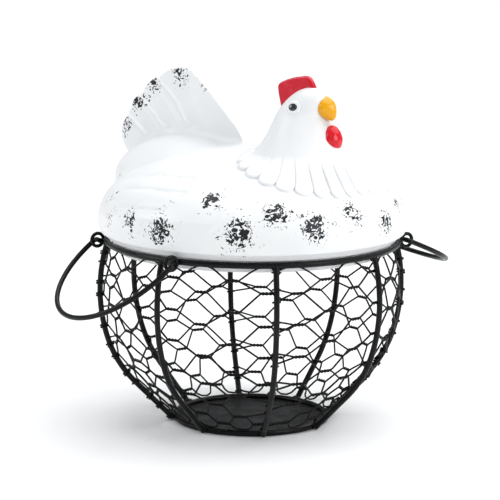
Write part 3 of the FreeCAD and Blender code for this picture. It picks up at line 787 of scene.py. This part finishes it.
# the casting: cut level at the foot, turned in to a locating lip, and hollowed up into the neck
use_modifier(hen, "BOOLEAN", operation="UNION", solver="EXACT", object=neck)
bpy.data.objects.remove(neck)
bpy.ops.object.mode_set(mode="EDIT")
bpy.ops.mesh.select_all(action="SELECT")
bpy.ops.mesh.bisect(plane_co=(0, 0, cut_level * mm), plane_no=(0, 0, 1), clear_inner=True)
hen.update_from_editmode()
outer_count = len(hen.data.vertices)
lip_out, lip_in, lip_low, lip_round = 85.5, 80.5, -5.0, 0.7
bore_edge, bore_middle, bore_rise = 24, 4, 32
cavity_flank = arc(flank_centre, flank_round - wall, 0, flank_join, 8)
cavity_back = arc(back_centre, back_round - wall, flank_join, math.pi / 2, 24)[1:-1]
inner_outline = [(tuck_reach - 0.5, cut_level - 0.5), (tuck_reach - 1.4, cut_level - 0.8)]
inner_outline += [(foot_ring + 0.5, cut_level - 0.8), (foot_ring, cut_level - 1.3)]
inner_outline += [(foot_ring, foot_level + lip_round), (foot_ring - lip_round, foot_level)]
inner_outline += [(lip_out, foot_level), (lip_out, lip_low + lip_round)]
inner_outline += [(lip_out - lip_round, lip_low), (lip_in + lip_round, lip_low)]
inner_outline += [(lip_in, lip_low + lip_round), (lip_in, 1.5)] + cavity_flank + cavity_back
here, level = tuck_reach, cut_level
for reach_to, level_to in inner_outline:
    move = (0, 0, (level_to - level) * mm)
    bpy.ops.mesh.extrude_edges_move(TRANSFORM_OT_translate={"value": move})
    ratio = reach_to / here
    bpy.ops.transform.resize(value=(ratio, ratio, 1), center_override=(0, 0, 0))
    here, level = reach_to, level_to
bpy.ops.mesh.merge(type="CENTER")
bpy.ops.mesh.select_all(action="SELECT")
bpy.ops.mesh.normals_make_consistent(inside=False)
if bmesh.from_edit_mesh(hen.data).calc_volume(signed=True) < 0:
    bpy.ops.mesh.flip_normals()
bpy.ops.object.mode_set(mode="OBJECT")
spots = read_points(hen)
off_neck = np.hypot(spots[:, 0] - neck_ahead, spots[:, 1])
bore = fade(off_neck, bore_edge, bore_middle) * (spots[:, 2] > 30)
bore[:outer_count] = 0
spots[:, 2] += bore_rise * bore
write_points(hen, spots)
bpy.ops.object.shade_smooth_by_angle(angle=math.radians(50))
load = hen.data.attributes.new("sponged", "FLOAT", "POINT")
load.data.foreach_set("value", sponge_load(spots).astype(np.float32))
hen.data.transform(hen_place)

sponged_black, sponge_in, sponge_out = new_group("Sponged black", {"Load": 0.0}, ("Flecks", "Shade"))
place = add_node(sponged_black, "ShaderNodeTexCoord").outputs["Object"]
worms = noise(sponged_black, place, 250.0, 1.0, 2.6)
crumbs = noise(sponged_black, place, 600.0, 1.0)
clumps = noise(sponged_black, place, 170.0, 2.0)
level_needed = ramp(sponged_black, sponge_in.outputs["Load"], 0.05, 1.0, 0.74, 0.475)
broken = maths(sponged_black, "ADD", worms, ramp(sponged_black, clumps, 0.35, 0.65, -0.07, 0.07))
over = maths(sponged_black, "SUBTRACT", broken, level_needed)
main_flecks = ramp(sponged_black, over, -0.008, 0.014)
some = ramp(sponged_black, sponge_in.outputs["Load"], 0.03, 0.5, 0.80, 0.67)
fine_flecks = ramp(sponged_black, maths(sponged_black, "SUBTRACT", crumbs, some), 0.0, 0.02)
near_patch = ramp(sponged_black, sponge_in.outputs["Load"], 0.03, 0.12)
gated = maths(sponged_black, "MULTIPLY", fine_flecks, near_patch)
patch_flecks = maths(sponged_black, "MULTIPLY", main_flecks, near_patch)
flecks = maths(sponged_black, "MAXIMUM", patch_flecks, gated)
sponged_black.links.new(flecks, sponge_out.inputs["Flecks"])
sponged_black.links.new(noise(sponged_black, place, 330.0, 2.0), sponge_out.inputs["Shade"])

glazed_white = bpy.data.materials.new("sponged white glaze")
glazed_white.use_nodes = True
tree = glazed_white.node_tree
shader = tree.nodes["Principled BSDF"]
load_here = add_node(tree, "ShaderNodeAttribute", attribute_name="sponged").outputs["Fac"]
sponge = add_node(tree, "ShaderNodeGroup", node_tree=sponged_black, Load=load_here)
place = add_node(tree, "ShaderNodeTexCoord").outputs["Object"]
glaze_cloud = ramp(tree, noise(tree, place, 28.0, 3.0), 0.3, 0.7)
white = blend_colour(tree, glaze_cloud, (0.765, 0.775, 0.785), (0.80, 0.808, 0.815))
shade = ramp(tree, sponge.outputs["Shade"], 0.4, 0.75)
ink = blend_colour(tree, shade, (0.002, 0.002, 0.004), (0.016, 0.018, 0.026))
tree.links.new(blend_colour(tree, sponge.outputs["Flecks"], white, ink), shader.inputs["Base Color"])
dulled = maths(tree, "MULTIPLY_ADD", sponge.outputs["Flecks"], 0.18)
tree.links.new(ramp(tree, noise(tree, place, 60.0), 0.3, 0.7, 0.40, 0.48), dulled.node.inputs[2])
tree.links.new(dulled, shader.inputs["Roughness"])
ripple = noise(tree, place, 140.0, 2.0)
raised = maths(tree, "MULTIPLY_ADD", sponge.outputs["Flecks"], 0.5)
tree.links.new(ripple, raised.node.inputs[2])
bump = add_node(tree, "ShaderNodeBump", Height=raised, Strength=0.12, Distance=0.3 * mm)
tree.links.new(bump.outputs["Normal"], shader.inputs["Normal"])
shader.inputs["Specular IOR Level"].default_value = 0.35
shader.inputs["Coat Weight"].default_value = 0.12
shader.inputs["Coat Roughness"].default_value = 0.2
finish_piece(hen, "hen_casting", glazed_white, "lid")
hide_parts("hen_lid")

# ---- Comb, beak, wattle and eyes ----
# Small pressed pieces luted to the head before firing and brushed with their own glazes: crimson
# on the comb, scarlet on the wattle, yellow on the beak, a black dot in a white ring for each eye.
# The brushed glaze is patchy and deep where it pooled. Each piece is paler toward its top,
# partly glaze brushed thinly and partly a painted highlight of the overhead light.


def brushed_glaze(name, deep, thin_glaze_and_highlight):
    """A brushed glaze: deep where it pooled, paler where brushed thinly and where a highlight is
    painted.
    """
    material = bpy.data.materials.new(name)
    material.use_nodes = True
    tree = material.node_tree
    shader = tree.nodes["Principled BSDF"]
    place = add_node(tree, "ShaderNodeTexCoord").outputs["Object"]
    patchy = noise(tree, place, 190.0, 3.0, 0.5)
    # a point attribute pales each piece's top: a painted highlight, partly thinly brushed glaze
    highlight_and_thin_share = add_node(tree, "ShaderNodeAttribute", attribute_name="thin_glaze_and_highlight").outputs["Fac"]
    share = maths(tree, "MAXIMUM", ramp(tree, patchy, 0.5, 0.8, 0.0, 0.4), highlight_and_thin_share)
    tree.links.new(blend_colour(tree, share, deep, thin_glaze_and_highlight), shader.inputs["Base Color"])
    sheen = ramp(tree, patchy, 0.3, 0.7, 0.20, 0.31)
    tree.links.new(sheen, shader.inputs["Roughness"])
    strokes = noise(tree, place, 260.0)
    bump = add_node(tree, "ShaderNodeBump", Height=strokes, Strength=0.25, Distance=0.4 * mm)
    tree.links.new(bump.outputs["Normal"], shader.inputs["Normal"])
    shader.inputs["Specular IOR Level"].default_value = 0.2
    shader.inputs["Coat Weight"].default_value = 0.3
    shader.inputs["Coat Roughness"].default_value = 0.06
    return material


# a point attribute of how much paler the glaze is: painted highlight, partly thinly brushed glaze
def set_highlight_and_thin(piece, values):
    thin_glaze_and_highlight = piece.data.attributes.new("thin_glaze_and_highlight", "FLOAT", "POINT")
    thin_glaze_and_highlight.data.foreach_set("value", np.clip(values, 0, 1).astype(np.float32))


# each glaze's second colour is the paler one: thinly brushed glaze and the painted top highlight
crimson = brushed_glaze("crimson glaze", (0.56, 0.002, 0.018), (0.74, 0.05, 0.09))
scarlet = brushed_glaze("scarlet glaze", (0.62, 0.002, 0.012), (0.78, 0.03, 0.045))
egg_yellow = brushed_glaze("yellow glaze", (0.80, 0.36, 0.002), (0.90, 0.56, 0.07))

comb_thick, comb_round = 8, 2.2
comb_outline = [(22, 84), (20, 92), (19.3, 96.2), (20.2, 98.2), (22.2, 99.5)]
comb_outline += [(26.5, 101.3), (32, 102.9), (35.5, 103.4), (38.5, 104), (41, 104), (43, 103)]
comb_outline += [(44.8, 100.8), (46.6, 97.4), (48, 93), (44, 88)]
comb = slab("comb", comb_outline, comb_thick, comb_round)
use_modifier(comb, "REMESH", mode="VOXEL", voxel_size=0.5 * mm)
use_modifier(comb, "SMOOTH", factor=0.6, iterations=9)
bpy.ops.object.shade_smooth()
spots = read_points(comb)
# the comb's top band is paler: a painted highlight of the overhead light, partly thinly brushed glaze
set_highlight_and_thin(comb, 0.5 * fade(spots[:, 2], 101, 104))
comb.data.transform(hen_place)
finish_piece(comb, "comb_glazed", crimson, "lid")
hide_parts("comb")

beak_radius, beak_stretch = 6.3 * mm, (1.32, 1.02, 1.04)
beak_place, beak_tilt = Vector((54.7, 0, 85.7)) * mm, math.radians(30)
beak = start_piece(
    bpy.ops.mesh.primitive_uv_sphere_add, segments=48, ring_count=32, radius=beak_radius
)
bpy.ops.object.mode_set(mode="EDIT")
bpy.ops.transform.resize(value=beak_stretch, center_override=(0, 0, 0))
bpy.ops.object.mode_set(mode="OBJECT")
spots = read_points(beak)
forward = fade(spots[:, 0], 0, 8.6)
spots[:, 1] *= 1 - 0.34 * forward
spots[:, 2] *= 0.9 - 0.14 * forward
spots[:, 2] += 0.9 * np.exp(-((spots[:, 1] / 1.6) ** 2)) * fade(spots[:, 2], 0, 3)
spots[:, 2] -= 2.0 * forward**2
write_points(beak, spots)
beak.data.transform(Matrix.Translation(beak_place) @ Matrix.Rotation(beak_tilt, 4, "Y"))
bpy.ops.object.shade_smooth()
# the beak's upper part is paler: a painted highlight of the overhead light, partly thinly brushed glaze
set_highlight_and_thin(beak, 0.7 * fade(read_points(beak)[:, 2], 90, 94))
beak.data.transform(hen_place)
finish_piece(beak, "beak_glazed", egg_yellow, "lid")
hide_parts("beak")

wattle_size, wattle_place = Vector((6.6, 7.3, 8.3)) * mm, Vector((59.2, 0, 67.3)) * mm
facet_round = 0.55 * mm
wattle = start_piece(bpy.ops.mesh.primitive_ico_sphere_add, subdivisions=2, radius=1)
bpy.ops.object.mode_set(mode="EDIT")
bpy.ops.transform.resize(value=wattle_size, center_override=(0, 0, 0))
bpy.ops.object.mode_set(mode="OBJECT")
spots = read_points(wattle)
spots[:, 2] += 0.5 * np.sign(spots[:, 2]) * fade(np.abs(spots[:, 2]), 5, 7)
spots[:, :2] *= (1 - 0.12 * fade(spots[:, 2], 0, 6))[:, None]
write_points(wattle, spots)
use_modifier(wattle, "BEVEL", width=facet_round, segments=3, limit_method="NONE")
wattle.data.transform(Matrix.Translation(wattle_place))
bpy.ops.object.shade_smooth()
# the wattle's top is paler: a painted highlight of the overhead light, partly thinly brushed glaze
set_highlight_and_thin(wattle, 0.4 * fade(read_points(wattle)[:, 2], 69, 74))
wattle.data.transform(hen_place)
finish_piece(wattle, "wattle_glazed", scarlet, "lid")
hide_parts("wattle")

pupil_black = bpy.data.materials.new("pupil black")
pupil_black.use_nodes = True
tree = pupil_black.node_tree
shader = tree.nodes["Principled BSDF"]
place = add_node(tree, "ShaderNodeTexCoord").outputs["Object"]
brushed = ramp(tree, noise(tree, place, 900.0), 0.4, 0.7)
dot_colour = blend_colour(tree, brushed, (0.010, 0.011, 0.014), (0.03, 0.032, 0.04))
tree.links.new(dot_colour, shader.inputs["Base Color"])
tree.links.new(ramp(tree, noise(tree, place, 400.0), 0.3, 0.7, 0.10, 0.2), shader.inputs["Roughness"])
shader.inputs["Coat Weight"].default_value = 0.6
eye_turn, eye_lean, eye_level, eye_out = math.radians(80), math.radians(16), 86.3, 14.5
eye_ring_radius, eye_ring_round, eye_ring_stretch = 3.35 * mm, 1.1 * mm, (0.92, 1.1, 1.0)
pupil_size = Vector((2.6, 3.2, 1.2)) * mm
for side, name in ((1, "left"), (-1, "right")):
    face = Matrix.Rotation(side * eye_turn, 4, "Z") @ Matrix.Rotation(math.pi / 2 - eye_lean, 4, "Y")
    spot = Vector((
        neck_ahead + eye_out * math.cos(eye_turn),
        side * eye_out * math.sin(eye_turn),
        eye_level,
    )) * mm
    settle = hen_place @ Matrix.Translation(spot) @ face
    ring = start_piece(
        bpy.ops.mesh.primitive_torus_add, major_radius=eye_ring_radius,
        minor_radius=eye_ring_round, major_segments=48, minor_segments=16,
    )
    bpy.ops.object.mode_set(mode="EDIT")
    bpy.ops.transform.resize(value=eye_ring_stretch, center_override=(0, 0, 0))
    bpy.ops.object.mode_set(mode="OBJECT")
    bpy.ops.object.shade_smooth()
    ring.data.transform(settle)
    finish_piece(ring, f"{name}_eye_ring", glazed_white, "lid")
    pupil = start_piece(bpy.ops.mesh.primitive_uv_sphere_add, segments=40, ring_count=24, radius=1)
    bpy.ops.object.mode_set(mode="EDIT")
    bpy.ops.transform.resize(value=pupil_size, center_override=(0, 0, 0))
    bpy.ops.object.mode_set(mode="OBJECT")
    bpy.ops.object.shade_smooth()
    pupil.data.transform(settle)
    finish_piece(pupil, f"{name}_pupil", pupil_black, "lid")
    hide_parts(f"hen_{name}_eye")

# ---- Studio ----
# A pale floor, one broad overhead light, a soft box at the front right, another at the left and a
# weak one in front, and a long lens a little above the rim.

floor_size = 12
floor = start_piece(bpy.ops.mesh.primitive_plane_add, size=floor_size)
floor.name = "floor"
pale = bpy.data.materials.new("pale floor")
pale.use_nodes = True
tree = pale.node_tree
shader = tree.nodes["Principled BSDF"]
place = add_node(tree, "ShaderNodeTexCoord").outputs["Object"]
faint = ramp(tree, noise(tree, place, 3.0), 0.3, 0.7)
floor_white = blend_colour(tree, faint, (0.86, 0.86, 0.86), (0.88, 0.88, 0.88))
tree.links.new(floor_white, shader.inputs["Base Color"])
shader.inputs["Roughness"].default_value = 0.7
floor.data.materials.append(pale)

world = bpy.data.worlds.new("studio")
bpy.context.scene.world = world
bpy.context.scene.view_settings.view_transform = "Standard"
world.use_nodes = True
tree = world.node_tree
backdrop = tree.nodes["Background"]
backdrop.inputs["Color"].default_value = (1, 1, 1, 1)
dim = add_node(tree, "ShaderNodeBackground", Color=(0.93, 0.97, 1.0, 1), Strength=0.36)
seen = add_node(tree, "ShaderNodeLightPath").outputs["Is Camera Ray"]
either = add_node(tree, "ShaderNodeMixShader", Fac=seen)
tree.links.new(dim.outputs["Background"], either.inputs[1])
tree.links.new(backdrop.outputs["Background"], either.inputs[2])
tree.links.new(either.outputs["Shader"], tree.nodes["World Output"].inputs["Surface"])

look_way = Vector((0.520, 0.854, 0)).normalized()
look_side = Vector((look_way.y, -look_way.x, 0))
middle = Vector((0, 0, rim_level))


def soft_light(name, side, back, up, size, power):
    """A square soft light aimed at the basket; side is to the view's right, back is away from it."""
    lamp = bpy.data.lights.new(name, "AREA")
    lamp.shape = "SQUARE"
    lamp.size = size
    lamp.energy = power
    holder = bpy.data.objects.new(name, lamp)
    bpy.context.scene.collection.objects.link(holder)
    holder.location = middle + look_side * side + look_way * back + Vector((0, 0, up))
    holder.rotation_euler = (middle - holder.location).to_track_quat("-Z", "Y").to_euler()


soft_light("right box", 0.95, -0.75, 0.5, 0.5, 5)
soft_light("left box", -1.0, -0.15, 0.55, 0.55, 4.5)
soft_light("front box", -0.2, -1.3, 0.9, 0.6, 1)

overhead = bpy.data.lights.new("overhead", "SUN")
overhead.energy = 3.0
overhead.angle = math.radians(80)
overhead_holder = bpy.data.objects.new("overhead", overhead)
bpy.context.scene.collection.objects.link(overhead_holder)
down = -(Vector((0, 0, 1)) + 0.35 * look_side + 0.25 * look_way)
overhead_holder.rotation_euler = down.to_track_quat("-Z", "Y").to_euler()

camera_data = bpy.data.cameras.new("camera")
camera = bpy.data.objects.new("camera", camera_data)
bpy.context.scene.collection.objects.link(camera)
bpy.context.scene.camera = camera
camera_reach, camera_rise, camera_roll = 1.44, math.radians(9.95), math.radians(0.45)
camera_data.sensor_width = 36
camera_data.lens = 167.4
camera_data.shift_x = -0.0048
camera_data.shift_y = -0.022
camera_data.clip_end = 50
aim = look_way * math.cos(camera_rise) - Vector((0, 0, math.sin(camera_rise)))
camera.location = middle - aim * camera_reach
turn_to = aim.to_track_quat("-Z", "Y").to_matrix().to_4x4()
camera.rotation_euler = (turn_to @ Matrix.Rotation(camera_roll, 4, "Z")).to_euler()
